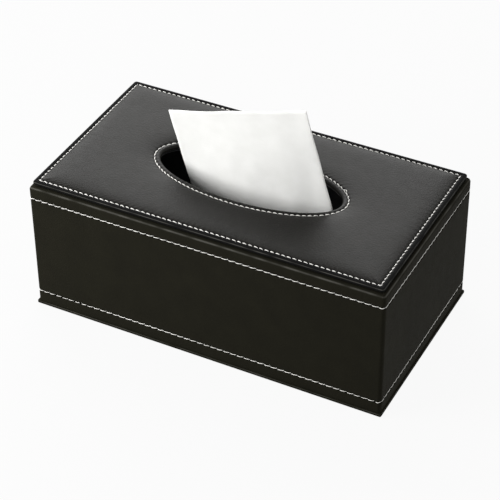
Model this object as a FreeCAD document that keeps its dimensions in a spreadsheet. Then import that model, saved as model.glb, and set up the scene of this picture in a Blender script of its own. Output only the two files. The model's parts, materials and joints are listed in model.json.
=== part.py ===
import FreeCAD
import Part
import Sketcher
import math
import os
import re
from FreeCAD import Vector

# A tissue box cover: a leatherette box of thin boards with a padded, hinged lid and an oval opening.
# Millimetres. The origin is at the middle of the underside, +Z is up, +X runs along the length and
# the front, where the lid is lifted, faces -Y.

SIZES = {
    # The box, measured over its leatherette.
    "box_length": 240,
    "box_width": 131,
    "rim_height": 92.6,
    "corner_radius": 2.2,
    "rim_radius": 2.2,
    "skin": 0.9,
    "board": 4,
    "turn_in": 9,
    "lining": 0.7,
    # The base: a thin wrapped board under the walls, with felt below it.
    "felt": 0.6,
    "felt_inset": 5,
    "base_board": 1.2,
    "base_skin": 0.4,
    "base_lip": 0.9,
    "base_turn": 8,
    "base_edge_radius": 0.35,
    # Brads and closing magnets.
    "brad_radius": 0.6,
    "brad_length": 13,
    "magnet_length": 15,
    "magnet_width": 2,
    "magnet_height": 3,
    "keeper_width": 3,
    "keeper_height": 0.6,
    "keeper_margin": 0.3,
    # Topstitching.
    "thread_width": 0.8,
    "thread_rise": 0.35,
    "upper_seam_drop": 8.9,
    "lower_seam_rise": 8.3,
    "lid_seam_inset": 3.5,
    "lid_seam_radius": 1.6,
    "opening_seam_margin": 4,
    # The lid.
    "lid_inset": 1.9,
    "lid_gap": 0.3,
    "lid_skin": 0.6,
    "lid_board": 1.6,
    "lid_corner_radius": 2,
    "lid_top_radius": 1.2,
    "lid_foot_radius": 1,
    "lid_turn": 10,
    "opening_length": 123,
    "opening_width": 49,
    "opening_roll": 1.2,
    "opening_turn": 6,
    "crown_rise": 1.2,
    "crown_run": 9,
    "crown_margin": 0.9,
    "plug_board": 1.5,
    "plug_clearance": 1.2,
    "plug_opening_margin": 2,
    "lid_flannel": 0.6,
    # The hinge strip.
    "hinge_skin": 0.6,
    "hinge_bead_radius": 0.4,
    "hinge_clearance": 0.1,
    "hinge_end_gap": 8,
    "hinge_seam_gap": 0.8,
    # The tissues.
    "stack_end_gap": 14,
    "stack_side_gap": 8,
    "stack_height": 20,
    "stack_radius": 3,
    "tissue_thickness": 0.4,
    "tissue_left_gap": 15,
    "tissue_right_gap": 6.7,
    "tissue_rise": 48.5,
    "tissue_bow": 5,
    "tissue_tail_gap": 0.3,
    # How far a cutting shape runs past the face it opens.
    "overrun": 1,
}

# Angles, in degrees.
HINGE_WRAP_ANGLE = 75
TISSUE_LEAN_ANGLE = 16.1

# Places along a run, as shares of it.
RABBET_SHARE = 0.5
MAGNET_SPREAD_SHARE = 0.25
CORNER_BRAD_SHARES = (0.18, 0.5, 0.82)
LONG_BRAD_SHARES = (-0.75, -0.25, 0.25, 0.75)
SHORT_BRAD_SHARES = (-0.45, 0.45)
CROWN_RUN_SHARES = (0, 0.3, 0.65, 1)
CROWN_RISE_SHARES = (0, 0.55, 0.9, 1)
TISSUE_HEIGHT_SHARES = (0, 0.3, 0.52, 0.76, 1)
TISSUE_BOW_SHARES = (0.2, 0.5, 1, 0.7, 0.3)

# Sizes and levels that follow from the ones above.
DERIVED = {
    "base_length": "box_length + 2 * base_lip",
    "base_width": "box_width + 2 * base_lip",
    "base_height": "base_board + 2 * base_skin",
    "base_radius": "corner_radius + base_lip",
    "base_board_foot": "felt + base_skin",
    "wall_foot": "felt + base_height",
    "wall_top": "rim_height - skin",
    "wall_height": "wall_top - wall_foot",
    "wall_length": "box_length - 2 * skin",
    "wall_width": "box_width - 2 * skin",
    "inner_length": "wall_length - 2 * board",
    "inner_width": "wall_width - 2 * board",
    "mouth_length": "inner_length - 2 * skin",
    "mouth_width": "inner_width - 2 * skin",
    "floor_top": "wall_foot + lining",
    "lining_top": "rim_height - turn_in",
    "upper_seam": "rim_height - upper_seam_drop",
    "lower_seam": "wall_foot + lower_seam_rise",
    "lid_length": "box_length - 2 * lid_inset",
    "lid_width": "box_width - 2 * lid_inset",
    "lid_foot": "rim_height + lid_gap",
    "lid_board_foot": "lid_foot + lid_skin",
    "lid_deck": "lid_board_foot + lid_board",
    "lid_margin": "lid_deck + lid_skin",
    "lid_rear": "lid_width / 2",
    "opening_seam_length": "opening_length + 2 * opening_seam_margin",
    "opening_seam_width": "opening_width + 2 * opening_seam_margin",
    "plug_length": "mouth_length - 2 * plug_clearance",
    "plug_width": "mouth_width - 2 * plug_clearance",
    "plug_foot": "lid_foot - plug_board",
    "hinge_length": "lid_length - 2 * hinge_end_gap",
    "hinge_reach": "rim_radius + hinge_bead_radius",
    "shoulder_y": "box_width / 2 - rim_radius",
    "shoulder_z": "rim_height - rim_radius",
    "hinge_foot": "upper_seam + thread_width / 2 + hinge_seam_gap",
    "stack_length": "inner_length - 2 * stack_end_gap",
    "stack_width": "inner_width - 2 * stack_side_gap",
    "stack_top": "floor_top + stack_height",
}

LEVEL_TOLERANCE = 0.001


def bound(text):
    """An expression on the sheet: each size is read from its cell, each derived one is spelled out."""
    def spell(match):
        word = match.group()
        return f"({bound(DERIVED[word])})" if word in DERIVED else f"sizes.{word}"
    return re.sub("[a-z_]+", spell, text)


def value(text):
    """The number that an expression of sizes comes to now."""
    return float(sheet.evalExpression(bound(text)))


def bind(item, **texts):
    """Bind properties of item to expressions; a double underscore in a name stands for a dot."""
    for name, text in texts.items():
        item.setExpression(name.replace("__", "."), bound(text))


def place(item, x, y, z):
    bind(item, Placement__Base__x=x, Placement__Base__y=y, Placement__Base__z=z)


def block(name, length, width, height, x, y, foot):
    """A plain block, centred on x and y and standing at foot."""
    item = document.addObject("Part::Box", name)
    bind(item, Length=length, Width=width, Height=height)
    place(item, f"{x} - ({length}) / 2", f"{y} - ({width}) / 2", foot)
    return item


def rod(name, radius, length, at, turn):
    """A cylinder that starts at a point; turn takes its own +Z to where it points."""
    item = document.addObject("Part::Cylinder", name)
    item.Placement = FreeCAD.Placement(Vector(), turn)
    bind(item, Radius=radius, Height=length)
    place(item, *at)
    return item


def group(name, pieces):
    item = document.addObject("Part::Compound", name)
    item.Links = pieces
    return item


def fused(name, pieces):
    item = document.addObject("Part::MultiFuse", name)
    item.Shapes = pieces
    return item


def common(name, base, tool):
    item = document.addObject("Part::Common", name)
    item.Base = base
    item.Tool = tool
    return item


def cut(name, base, *tools):
    item = document.addObject("Part::Cut", name)
    item.Base = base
    item.Tool = tools[0] if len(tools) == 1 else fused(f"{name}_cutters", list(tools))
    return item


def level_sketch(body, name, level):
    """An empty sketch in body, parallel to the floor at a level."""
    sketch = body.newObject("Sketcher::SketchObject", name)
    floor = next(item for item in body.Origin.OriginFeatures if item.Role == "XY_Plane")
    sketch.AttachmentSupport = [(floor, "")]
    sketch.MapMode = "FlatFace"
    bind(sketch, AttachmentOffset__Base__z=level)
    return sketch


def name_constraint(sketch, name, constraint, text):
    index = sketch.addConstraint(constraint)
    sketch.renameConstraint(index, name)
    sketch.setExpression(f"Constraints.{name}", bound(text))


def rounded_sketch(body, name, length, width, radius, level):
    """A rectangle with rounded corners, centred on the origin."""
    sketch = level_sketch(body, name, level)
    a, b, r = value(length) / 2, value(width) / 2, value(radius)
    ends = [((r - a, -b), (a - r, -b)), ((a, r - b), (a, b - r))]
    ends += [((a - r, b), (r - a, b)), ((-a, b - r), (-a, r - b))]
    for start, end in ends:
        sketch.addGeometry(Part.LineSegment(Vector(*start, 0), Vector(*end, 0)))
    centres = [(a - r, r - b), (a - r, b - r), (r - a, b - r), (r - a, r - b)]
    for quarter, centre in enumerate(centres):
        circle = Part.Circle(Vector(*centre, 0), Vector(0, 0, 1), r)
        turn = math.pi / 2
        sketch.addGeometry(Part.ArcOfCircle(circle, (quarter - 1) * turn, quarter * turn))
    rule = Sketcher.Constraint
    for side in range(4):
        sketch.addConstraint(rule("Tangent", side, 2, 4 + side, 1))
        sketch.addConstraint(rule("Tangent", 4 + side, 2, (side + 1) % 4, 1))
    sketch.addConstraint([rule("Horizontal", 0), rule("Horizontal", 2)])
    sketch.addConstraint([rule("Vertical", 1), rule("Vertical", 3)])
    sketch.addConstraint([rule("Equal", 4, corner) for corner in (5, 6, 7)])
    sketch.addConstraint(rule("Symmetric", 4, 3, 6, 3, -1, 1))
    name_constraint(sketch, "length", rule("DistanceX", 3, 1, 1, 1, 2 * a), length)
    name_constraint(sketch, "width", rule("DistanceY", 0, 1, 2, 1, 2 * b), width)
    name_constraint(sketch, "radius", rule("Radius", 4, r), radius)
    return sketch


def oval_sketch(body, name, length, width, level):
    """An ellipse centred on the origin."""
    sketch = level_sketch(body, name, level)
    a, b = value(length) / 2, value(width) / 2
    sketch.addGeometry(Part.Ellipse(Vector(), a, b))
    sketch.exposeInternalGeometry(0)
    rule = Sketcher.Constraint
    sketch.addConstraint(rule("Coincident", 0, 3, -1, 1))
    sketch.addConstraint(rule("Horizontal", 1))
    name_constraint(sketch, "length", rule("Distance", 1, 2 * a), length)
    name_constraint(sketch, "width", rule("Distance", 2, 2 * b), width)
    return sketch


def rounded_edges(body, name, level, radius, longest="base_length"):
    """Round the edges of body that lie at a level and are no longer in X than longest."""
    document.recompute()
    base = body.Tip
    names = []
    for number, edge in enumerate(base.Shape.Edges, 1):
        heights = [point.Z for point in edge.Vertexes] + [edge.CenterOfMass.z]
        flat = all(abs(height - value(level)) < LEVEL_TOLERANCE for height in heights)
        if flat and edge.BoundBox.XLength < value(longest) + LEVEL_TOLERANCE:
            names.append(f"Edge{number}")
    fillet = body.newObject("PartDesign::Fillet", name)
    fillet.Base = (base, names)
    bind(fillet, Radius=radius)


def slab(name, length, width, radius, foot, height):
    """A plate with rounded upright corners, standing at foot."""
    body = document.addObject("PartDesign::Body", name)
    sketch = rounded_sketch(body, f"{name}_outline", length, width, radius, foot)
    pad = body.newObject("PartDesign::Pad", f"{name}_pad")
    pad.Profile = sketch
    bind(pad, Length=height)
    return body


def oval_prism(name, length, width, foot, height):
    oval = document.addObject("Part::Ellipse", f"{name}_outline")
    bind(oval, MajorRadius=f"({length}) / 2", MinorRadius=f"({width}) / 2")
    place(oval, "0", "0", foot)
    prism = document.addObject("Part::Extrusion", name)
    prism.Base = oval
    prism.DirMode = "Custom"
    prism.Dir = Vector(0, 0, 1)
    prism.Solid = True
    bind(prism, LengthFwd=height)
    return prism


def lofted(body, name, kind, sections):
    loft = body.newObject(f"PartDesign::{kind}Loft", name)
    loft.Profile = sections[0]
    loft.Sections = sections[1:]
    loft.Ruled = True


def add_crown(body, foot):
    """The soft top: it swells inwards from the border seam and sinks again towards the oval seam."""
    steps = list(zip(CROWN_RUN_SHARES, CROWN_RISE_SHARES))
    outer, inner = [], []
    for number, (run, rise) in enumerate(steps):
        level = f"{foot} + crown_rise * {rise}"
        edge = f"2 * (lid_seam_inset + crown_margin + crown_run * {run})"
        outer.append(rounded_sketch(body, f"{body.Name}_swell_{number}", f"lid_length - {edge}",
                                    f"lid_width - {edge}", "lid_corner_radius", level))
        lip = f"2 * (crown_margin + crown_run * {run})"
        inner.append(oval_sketch(body, f"{body.Name}_dish_{number}", f"opening_seam_length + {lip}",
                                 f"opening_seam_width + {lip}", level))
    lofted(body, f"{body.Name}_swell", "Additive", outer)
    document.recompute()
    lofted(body, f"{body.Name}_dish", "Subtractive", inner)
    document.recompute()


def make_brads():
    """Headless nails: along Y through the front and rear boards, and up through the base."""
    corner = []
    for end in (-1, 1):
        for side in (-1, 1):
            turn = FreeCAD.Rotation(Vector(1, 0, 0), 90 * side)
            for share in CORNER_BRAD_SHARES:
                at = (f"{end} * (wall_length - board) / 2", f"{side} * wall_width / 2",
                      f"wall_foot + wall_height * {share}")
                corner.append(rod("corner_brad", "brad_radius", "brad_length", at, turn))
    spots = [(f"wall_length / 2 * {share}", f"{side} * (wall_width - board) / 2")
             for share in LONG_BRAD_SHARES for side in (-1, 1)]
    spots += [(f"{end} * (wall_length - board) / 2", f"wall_width / 2 * {share}")
              for share in SHORT_BRAD_SHARES for end in (-1, 1)]
    upright = FreeCAD.Rotation()
    base = [rod("base_brad", "brad_radius", "brad_length", (x, y, "base_board_foot"), upright)
            for x, y in spots]
    return group("corner_brads", corner), group("base_brads", base)


def make_base(base_brads):
    felt = block("underside_felt", "base_length - 2 * felt_inset", "base_width - 2 * felt_inset",
                 "felt", "0", "0", "0")
    blank = slab("base_blank", "base_length - 2 * base_skin", "base_width - 2 * base_skin",
                 "base_radius - base_skin", "base_board_foot", "base_board")
    board = cut("base_board", blank, base_brads)
    form = slab("base_form", "base_length", "base_width", "base_radius", "felt", "base_height")
    rounded_edges(form, "base_form_top_round", "wall_foot", "base_edge_radius")
    rounded_edges(form, "base_form_foot_round", "felt", "base_edge_radius")
    window = block("base_window", "base_length - 2 * base_turn", "base_width - 2 * base_turn",
                   "base_skin + overrun", "0", "0", "base_board_foot + base_board")
    wrap = cut("base_wrap", form, blank, window, base_brads)
    return [felt, board, wrap]


def make_magnets():
    """Bar magnets in the top edge of the front board, behind its rounding, and keepers in the lid."""
    magnets, keepers = [], []
    for end in (-1, 1):
        x = f"{end} * box_length * {MAGNET_SPREAD_SHARE}"
        magnet_y = "rim_radius - skin + magnet_width / 2 - wall_width / 2"
        magnets.append(block("magnet", "magnet_length", "magnet_width", "magnet_height", x,
                             magnet_y, "wall_top - magnet_height"))
        keeper_y = "keeper_margin + lid_skin + keeper_width / 2 - lid_width / 2"
        keepers.append(block("keeper", "magnet_length", "keeper_width", "keeper_height", x,
                             keeper_y, "lid_board_foot"))
    return group("wall_magnets", magnets), group("lid_keepers", keepers)


def make_walls(corner_brads, base_brads, magnets):
    """Four boards cut from one rounded form; the front and rear ones are rabbeted for the sides."""
    form = slab("wall_form", "wall_length", "wall_width", "corner_radius - skin", "wall_foot",
                "wall_height")
    rounded_edges(form, "wall_form_round", "wall_top", "rim_radius - skin")
    rabbet = f"board * {RABBET_SHARE}"
    boards = []
    for name, side, fittings in (("front", -1, [magnets]), ("rear", 1, [])):
        region = block(f"{name}_region", "wall_length", "board", "wall_height", "0",
                       f"{side} * (wall_width - board) / 2", "wall_foot")
        blank = common(f"{name}_blank", form, region)
        rabbets = [block(f"{name}_rabbet", "board", rabbet, "wall_height",
                         f"{end} * (wall_length - board) / 2",
                         f"{side} * (inner_width + {rabbet}) / 2", "wall_foot") for end in (-1, 1)]
        boards.append(cut(f"{name}_wall_board", blank, *rabbets, corner_brads, base_brads, *fittings))
    for name, end in (("left", -1), ("right", 1)):
        region = block(f"{name}_region", "board", f"inner_width + 2 * {rabbet}", "wall_height",
                       f"{end} * (wall_length - board) / 2", "0", "wall_foot")
        blank = common(f"{name}_blank", form, region)
        boards.append(cut(f"{name}_wall_board", blank, corner_brads, base_brads))
    return form, boards


def make_side_wrap(wall_form):
    """Leatherette round the walls, rolled over the rim and turned down inside it."""
    form = slab("side_form", "box_length", "box_width", "corner_radius", "wall_foot",
                "rim_height - wall_foot")
    rounded_edges(form, "side_form_round", "rim_height", "rim_radius")
    mouth = block("mouth", "mouth_length", "mouth_width", "turn_in + overrun", "0", "0", "lining_top")
    outside = cut("side_outside", form, wall_form, mouth)
    turned = block("turned_edge", "inner_length", "inner_width", "turn_in - skin", "0", "0", "lining_top")
    inside = cut("side_inside", turned, mouth)
    return fused("side_wrap", [outside, inside])


def make_side_seams():
    """One thread ring for each row of topstitching round the walls."""
    rings = []
    for name, seam in (("upper_seam_thread", "upper_seam"), ("lower_seam_thread", "lower_seam")):
        foot = f"{seam} - thread_width / 2"
        outer = slab(f"{name}_outer", "box_length + 2 * thread_rise", "box_width + 2 * thread_rise",
                     "corner_radius + thread_rise", foot, "thread_width")
        inner = slab(f"{name}_inner", "box_length", "box_width", "corner_radius", foot, "thread_width")
        rings.append(cut(name, outer, inner))
    return rings


def make_linings():
    """Flannel on the floor and, standing on it, on the four walls."""
    panels = [block("floor_lining", "inner_length", "inner_width", "lining", "0", "0", "wall_foot")]
    height = "lining_top - floor_top"
    for name, side in (("front_lining", -1), ("rear_lining", 1)):
        panels.append(block(name, "inner_length - 2 * lining", "lining", height, "0",
                            f"{side} * (inner_width - lining) / 2", "floor_top"))
    for name, end in (("left_lining", -1), ("right_lining", 1)):
        panels.append(block(name, "lining", "inner_width", height,
                            f"{end} * (inner_length - lining) / 2", "0", "floor_top"))
    return panels


def hinge_centre():
    """The y and z of the hinge line: the bead rests on the rounded shoulder of the rear rim."""
    y = f"shoulder_y + hinge_reach * {math.cos(math.radians(HINGE_WRAP_ANGLE))}"
    z = f"shoulder_z + hinge_reach * {math.sin(math.radians(HINGE_WRAP_ANGLE))}"
    return y, z


def make_hinge():
    """A leatherette strip in two leaves that meet at a rolled bead on the hinge line."""
    y, z = hinge_centre()
    left = "-hinge_length / 2"
    along = FreeCAD.Rotation(Vector(0, 1, 0), 90)
    flap = block("hinge_flap", "hinge_length", "hinge_skin", "shoulder_z - hinge_foot", "0",
                 "(box_width + hinge_skin) / 2", "hinge_foot")
    from_outside = along * FreeCAD.Rotation(Vector(0, 0, 1), 90)
    shoulder = (left, "shoulder_y", "shoulder_z")
    bend = rod("hinge_bend", "rim_radius + hinge_skin", "hinge_length", shoulder, from_outside)
    bend.Angle = HINGE_WRAP_ANGLE
    rim = rod("hinge_rim", "rim_radius", "hinge_length", shoulder, from_outside)
    bead = rod("hinge_bead", "hinge_bead_radius", "hinge_length", (left, y, z), along)
    wall_leaf = fused("hinge_wall_leaf", [flap, cut("hinge_bent_leaf", bend, rim), bead])
    root = "lid_rear - lid_turn"
    slot = block("hinge_slot", "hinge_length", "lid_turn + overrun", "lid_skin", "0",
                 f"{root} + (lid_turn + overrun) / 2", "lid_foot")
    leaf = block("hinge_leaf_blank", "hinge_length", "lid_turn", "lid_skin", "0", f"{root} + lid_turn / 2",
                 "lid_foot")
    room = rod("hinge_bead_room", "hinge_bead_radius + hinge_clearance", "hinge_length", (left, y, z),
               along)
    return wall_leaf, cut("hinge_lid_leaf", leaf, room), slot


def make_lid(keepers, hinge_slot):
    """Board, foam and leatherette, with the leatherette turned under at the edge and the opening."""
    plate = slab("lid_plate", "lid_length - 2 * lid_skin", "lid_width - 2 * lid_skin",
                 "lid_corner_radius - lid_skin", "lid_board_foot", "lid_board")
    hole = oval_prism("lid_board_hole", "opening_length + 2 * lid_skin", "opening_width + 2 * lid_skin",
                      "lid_board_foot", "lid_board")
    blank = cut("lid_blank", plate, hole)
    board = cut("lid_board", blank, keepers)

    pad = document.addObject("PartDesign::Body", "lid_pad")
    add_crown(pad, "lid_deck")

    form = slab("lid_form", "lid_length", "lid_width", "lid_corner_radius", "lid_foot",
                "lid_margin - lid_foot")
    rounded_edges(form, "lid_form_top_round", "lid_margin", "lid_top_radius")
    rounded_edges(form, "lid_form_foot_round", "lid_foot", "lid_foot_radius")
    add_crown(form, "lid_margin")
    pocket = form.newObject("PartDesign::Pocket", "lid_opening")
    pocket.Profile = oval_sketch(form, "lid_opening_outline", "opening_length", "opening_width",
                                 "lid_margin")
    bind(pocket, Length="lid_margin - lid_foot")
    rounded_edges(form, "lid_opening_round", "lid_margin", "opening_roll", "opening_length")

    recess = block("lid_recess", "lid_length - 2 * lid_turn", "lid_width - 2 * lid_turn", "lid_skin",
                   "0", "0", "lid_foot")
    turned = oval_prism("opening_turned", "opening_length + 2 * opening_turn",
                        "opening_width + 2 * opening_turn", "lid_foot", "lid_skin")
    cover = cut("lid_cover", form, blank, pad, cut("lid_underside", recess, turned), hinge_slot)
    return [board, pad, cover]


def make_lid_lining():
    """The board under the lid that drops inside the rim, and the flannel on it."""
    layers = []
    for name, foot, height in (("lid_lining_board", "plug_foot", "plug_board"),
                               ("lid_lining", "plug_foot - lid_flannel", "lid_flannel")):
        sheet_blank = block(f"{name}_blank", "plug_length", "plug_width", height, "0", "0", foot)
        hole = oval_prism(f"{name}_hole", "opening_length + 2 * plug_opening_margin",
                          "opening_width + 2 * plug_opening_margin", foot, height)
        layers.append(cut(name, sheet_blank, hole))
    return layers


def make_lid_seams():
    """The thread rings of the lid: along its border and round its opening."""
    length = "lid_length - 2 * lid_seam_inset"
    width = "lid_width - 2 * lid_seam_inset"
    outer = slab("border_outer", f"{length} + thread_width", f"{width} + thread_width",
                 "lid_seam_radius + thread_width / 2", "lid_margin", "thread_rise")
    inner = slab("border_inner", f"{length} - thread_width", f"{width} - thread_width",
                 "lid_seam_radius - thread_width / 2", "lid_margin", "thread_rise")
    ovals = [oval_prism(f"opening_thread_{name}", f"opening_seam_length {sign} thread_width",
                        f"opening_seam_width {sign} thread_width", "lid_margin", "thread_rise")
             for name, sign in (("outer", "+"), ("inner", "-"))]
    return [cut("lid_border_thread", outer, inner), cut("opening_thread", *ovals)]


def make_tissue_stack():
    stack = slab("tissue_stack", "stack_length", "stack_width", "stack_radius", "floor_top",
                 "stack_height")
    rounded_edges(stack, "tissue_stack_round", "stack_top", "stack_radius")
    return stack


def make_tissue_sheet():
    """One tissue: a leaning strip with straight edges, bowed a little towards the front.

    Each section is a thin band between two arcs. Its ends lie on the two straight edges of the strip,
    level at the tail and square to the strip at the top.
    """
    lean = math.radians(TISSUE_LEAN_ANGLE)
    across = Vector(math.cos(lean), 0, math.sin(lean))
    along = Vector(-math.sin(lean), 0, math.cos(lean))
    left = value("tissue_left_gap - opening_length / 2")
    right = value("opening_length / 2 - tissue_right_gap")
    middle = Vector((left + right) / 2, 0, value("lid_margin"))
    half = (right - left) / 2 * math.cos(lean)
    drop = value("lid_margin - stack_top - tissue_tail_gap")
    tails = [(side * half * math.sin(lean) + drop) / -math.cos(lean) for side in (-1, 1)]
    rise = value("tissue_rise")
    thickness = Vector(0, value("tissue_thickness"), 0)
    sections = []
    for height, bow in zip(TISSUE_HEIGHT_SHARES, TISSUE_BOW_SHARES):
        ends = [middle + across * (side * half) + along * (tail + (rise - tail) * height)
                for side, tail in zip((-1, 1), tails)]
        crest = (ends[0] + ends[1]) / 2 - Vector(0, value("tissue_bow") * bow, 0)
        front = Part.Arc(ends[0], crest, ends[1]).toShape()
        back = Part.Arc(ends[1] + thickness, crest + thickness, ends[0] + thickness).toShape()
        sides = [Part.makeLine(ends[1], ends[1] + thickness), Part.makeLine(ends[0] + thickness, ends[0])]
        sections.append(Part.Wire([front, sides[0], back, sides[1]]))
    item = document.addObject("Part::Feature", "tissue_sheet")
    item.Shape = Part.makeLoft(sections, True, True)
    item.Placement = FreeCAD.Placement()
    return item


def make_sheet():
    """The driving dimensions, one row each: a name and its value."""
    table = document.addObject("Spreadsheet::Sheet", "sizes")
    for row, (name, size) in enumerate(SIZES.items(), 1):
        table.set(f"A{row}", name)
        table.set(f"B{row}", str(size))
        table.setAlias(f"B{row}", name)
    document.recompute()
    return table


def make_parts():
    corner_brads, base_brads = make_brads()
    magnets, keepers = make_magnets()
    wall_form, boards = make_walls(corner_brads, base_brads, magnets)
    hinge_wall_leaf, hinge_lid_leaf, hinge_slot = make_hinge()
    parts = make_base(base_brads)
    parts += [corner_brads, base_brads, magnets, *boards, make_side_wrap(wall_form)]
    parts += [*make_side_seams(), *make_linings(), hinge_wall_leaf, hinge_lid_leaf]
    parts += [keepers, *make_lid(keepers, hinge_slot), *make_lid_lining(), *make_lid_seams()]
    parts += [make_tissue_stack(), make_tissue_sheet()]
    return parts


def check(parts):
    """Stop if anything failed to build or a piece is missing, empty or broken."""
    for item in document.Objects:
        if {"Invalid", "Error"} & set(item.State):
            raise RuntimeError(f"{item.Label} failed: {item.State}")
    for part in parts:
        if part.Shape.isNull() or not part.Shape.isValid() or not part.Shape.Solids:
            raise RuntimeError(f"{part.Label} has no sound solid")


document = FreeCAD.newDocument("tissue_box_cover")
sheet = make_sheet()
parts = make_parts()
document.recompute()
check(parts)
os.makedirs("parts", exist_ok=True)
for part in parts:
    part.Shape.exportStep(f"parts/{part.Label}.step")
    print(part.Label, len(part.Shape.Solids), round(part.Shape.Volume, 1))
hinge_y, hinge_z = hinge_centre()
print("hinge line", round(value(hinge_y), 3), round(value(hinge_z), 3))
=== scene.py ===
# %% [markdown]
# # A leatherette tissue box cover
#
# The real object is a box of thin boards, wrapped in black leatherette and topstitched in off-white.
# Its padded lid hinges at the back, and tissues are drawn through an oval opening. This lesson dresses
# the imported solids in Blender. Each step says what a piece is, how it could be made, and why it is made
# so.

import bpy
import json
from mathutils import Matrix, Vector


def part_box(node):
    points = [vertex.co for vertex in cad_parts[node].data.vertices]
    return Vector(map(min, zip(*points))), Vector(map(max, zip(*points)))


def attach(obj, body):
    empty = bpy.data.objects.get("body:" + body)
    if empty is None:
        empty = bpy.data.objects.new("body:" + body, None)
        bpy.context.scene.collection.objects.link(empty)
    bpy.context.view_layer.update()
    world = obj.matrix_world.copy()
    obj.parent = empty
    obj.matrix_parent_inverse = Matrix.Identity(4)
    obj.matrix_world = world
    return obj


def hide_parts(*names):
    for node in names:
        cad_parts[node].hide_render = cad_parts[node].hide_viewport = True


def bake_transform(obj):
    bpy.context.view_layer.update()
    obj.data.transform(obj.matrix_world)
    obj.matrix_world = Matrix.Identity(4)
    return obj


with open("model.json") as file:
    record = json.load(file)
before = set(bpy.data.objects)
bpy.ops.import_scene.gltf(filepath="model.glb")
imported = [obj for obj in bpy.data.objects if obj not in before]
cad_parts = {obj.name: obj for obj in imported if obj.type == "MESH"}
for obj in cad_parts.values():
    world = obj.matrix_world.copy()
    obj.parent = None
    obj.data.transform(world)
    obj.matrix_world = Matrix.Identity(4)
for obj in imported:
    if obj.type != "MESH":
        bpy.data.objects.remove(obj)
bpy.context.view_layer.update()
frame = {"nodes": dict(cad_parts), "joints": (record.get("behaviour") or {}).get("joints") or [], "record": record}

# %% [markdown]
# ## Sizes from the frame
#
# Typing sizes again would let the looks drift away from the solids. So every main size is read from the
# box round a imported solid. All shapes are worked out in millimetres and turned to metres when a mesh is
# made.

# %% Read the sizes of the walls, the lid and the seams
import json
import math

import bmesh
import bpy
import numpy as np
from mathutils import Matrix, Vector

MM = 0.001


def box_mm(node_name):
    """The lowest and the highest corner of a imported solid, in millimetres."""
    return [np.array(corner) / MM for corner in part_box(node_name)]


wall_low, wall_high = box_mm("side_wrap")
lid_low, lid_high = box_mm("lid_cover")
upper_low, upper_high = box_mm("upper_seam_thread")
lower_low, lower_high = box_mm("lower_seam_thread")
border_low, border_high = box_mm("lid_border_thread")
oval_high = box_mm("opening_thread")[1]

thread_width = upper_high[2] - upper_low[2]
upper_seam = (upper_low[2] + upper_high[2]) / 2
lower_seam = (lower_low[2] + lower_high[2]) / 2
border_seam = border_high[:2] - thread_width / 2
oval_seam = oval_high[:2] - thread_width / 2
lid_margin = border_low[2]
crown_rise = lid_high[2] - lid_margin
print("box", wall_high[:2] * 2, "lid", lid_high[:2] * 2, "seams at", upper_seam, lower_seam)

# %% [markdown]
# ## From arrays to a mesh
#
# A piece here is a grid of points: one direction runs round the box, the other across the section of
# the skin. Blender's own primitives would need many edits to become such a section, and a grid worked
# out as one array is exact and quick. If the faces enclose a negative volume they point inwards and are
# turned.

# %% Add a piece from a grid of points


def enclosed(points, blocks):
    """The volume inside: each face is a fan of triangles, and each triangle a tetrahedron to the origin."""
    total = 0.0
    for block in blocks:
        for corner in range(1, block.shape[1] - 1):
            a, b, c = (points[block[:, k]] for k in (0, corner, corner + 1))
            total += (a * np.cross(b, c)).sum() / 6
    return total


def add_piece(name, points, blocks, finish, **shades):
    """An object from points in millimetres and blocks of faces. A shade is one number for each point."""
    points = points.reshape(-1, 3)
    if enclosed(points, blocks) < 0:
        blocks = [block[:, ::-1] for block in blocks]
    mesh = bpy.data.meshes.new(name)
    mesh.from_pydata((points * MM).tolist(), [], [face for block in blocks for face in block.tolist()])
    for shade, values in shades.items():
        layer = mesh.attributes.new(shade, "FLOAT", "POINT")
        layer.data.foreach_set("value", np.asarray(values, np.float32).ravel())
    mesh.shade_smooth()
    mesh.materials.append(finish)
    piece = bpy.data.objects.new(name, mesh)
    bpy.context.scene.collection.objects.link(piece)
    print(name, len(mesh.vertices), "points,", len(mesh.polygons), "faces")
    return piece


def grid_faces(around, across, loop_around=True, loop_across=True):
    """Four-cornered faces between neighbours of a grid, closed on itself in either direction if asked."""
    index = np.arange(around * across).reshape(around, across)
    rows = np.arange(around if loop_around else around - 1)
    columns = np.arange(across if loop_across else across - 1)
    row, column = (part.ravel() for part in np.meshgrid(rows, columns, indexing="ij"))
    next_row, next_column = (row + 1) % around, (column + 1) % across
    return np.stack([index[row, column], index[next_row, column], index[next_row, next_column],
                     index[row, next_column]], axis=1)


print("faces of a grid of 4 by 3 points, closed both ways:", len(grid_faces(4, 3)))

# %% [markdown]
# ## Outlines
#
# Walls, lid and linings are all rounded rectangles, and the opening is an oval. Both outlines are
# walked at a steady pace, given as shares of the way round, so that stitches come out evenly spaced. A
# skin has thickness, so the rectangle can also be moved inwards: its arcs shrink first, and then the
# rectangle they stand on.

# %% Walk round a rounded rectangle and an oval
LEAST_RADIUS = 0.12


def rounded_outline(half, radius, shares):
    """Walk anticlockwise from the middle of the front: straight runs and quarter arcs in turn.

    Gives the rectangle that the arcs stand on, as a point for each share, and the direction outwards.
    """
    a, b = half - radius
    quarter = math.pi * radius / 2
    stops = np.cumsum([0, a, quarter, 2 * b, quarter, 2 * a, quarter, 2 * b, quarter, a])
    way = np.mod(shares, 1) * stops[-1]
    x = np.interp(way, stops, [0, a, a, a, a, -a, -a, -a, -a, 0])
    y = np.interp(way, stops, [-b, -b, -b, b, b, b, b, -b, -b, -b])
    angle = np.radians(np.interp(way, stops, [-90, -90, 0, 0, 90, 90, 180, 180, 270, 270]))
    return np.stack([x, y], -1), np.stack([np.cos(angle), np.sin(angle)], -1), stops[-1]


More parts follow.
